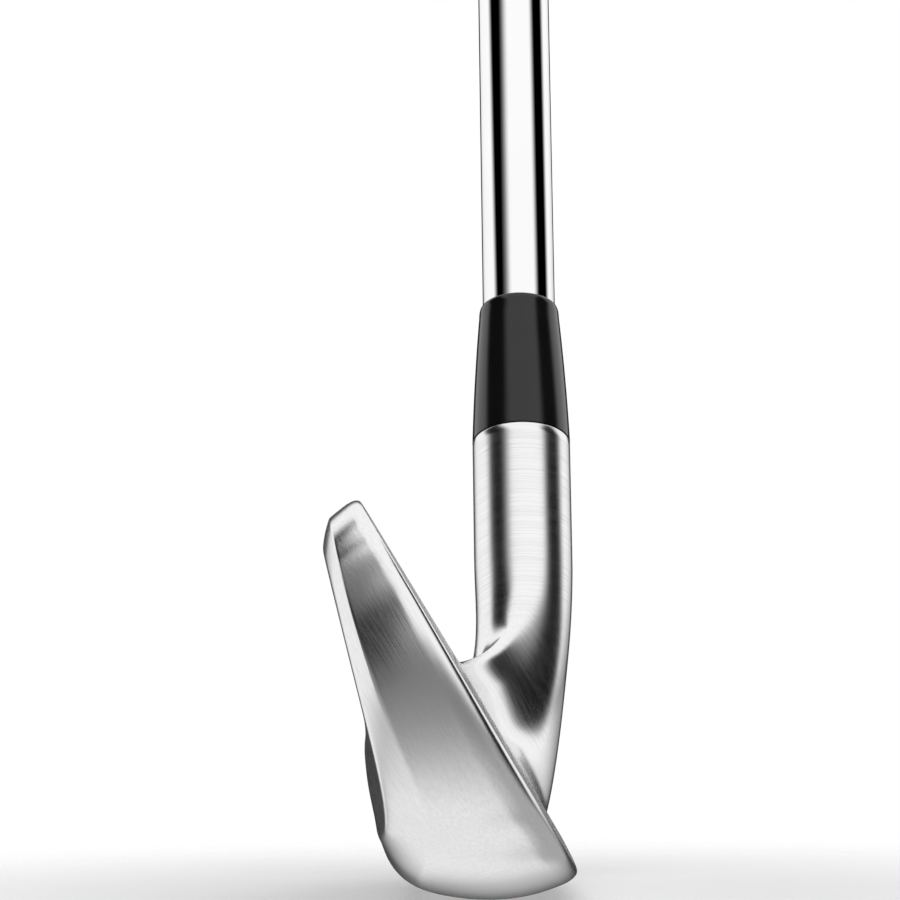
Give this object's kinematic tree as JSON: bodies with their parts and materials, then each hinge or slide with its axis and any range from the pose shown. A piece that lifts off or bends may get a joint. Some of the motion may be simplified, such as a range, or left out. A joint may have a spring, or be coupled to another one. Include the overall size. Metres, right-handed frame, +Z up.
{
  "type": "iron golf club",
  "caption": "Right-handed golf iron at address: forged steel head and hosel with a scored face, tapered black ferrule, stepped hollow steel shaft and rubber grip.",
  "frame": {"origin": "where the sole touches the ground, on the small flat under the middle of the face", "axes": "+X the way the face points along the ground, +Y from toe to heel and on towards the grip, +Z up; the club is held at address, its shaft 63 degrees from the ground in the YZ plane"},
  "size_m": [0.0381, 0.5166, 0.8429],
  "materials": {
    "satin_steel": "brushed satin nickel-chrome plating over forged steel",
    "black_plastic": "polished black",
    "chrome": "bright chrome plating over steel tube",
    "epoxy": "cured two-part adhesive",
    "brass": "as turned",
    "label_film": "blank silver-grey film",
    "tape": "cream double-sided tape",
    "grip_rubber": "moulded black rubber, matt"
  },
  "bodies": {
    "root": {"iron_head": "satin_steel", "ferrule": "black_plastic", "shaft": "chrome", "hosel_epoxy_layer": "epoxy", "swing_weight_plug": "brass", "shaft_label_band": "label_film", "grip_tape": "tape", "grip_sleeve": "grip_rubber", "grip_end_cap": "grip_rubber"}
  },
  "joints": []
}
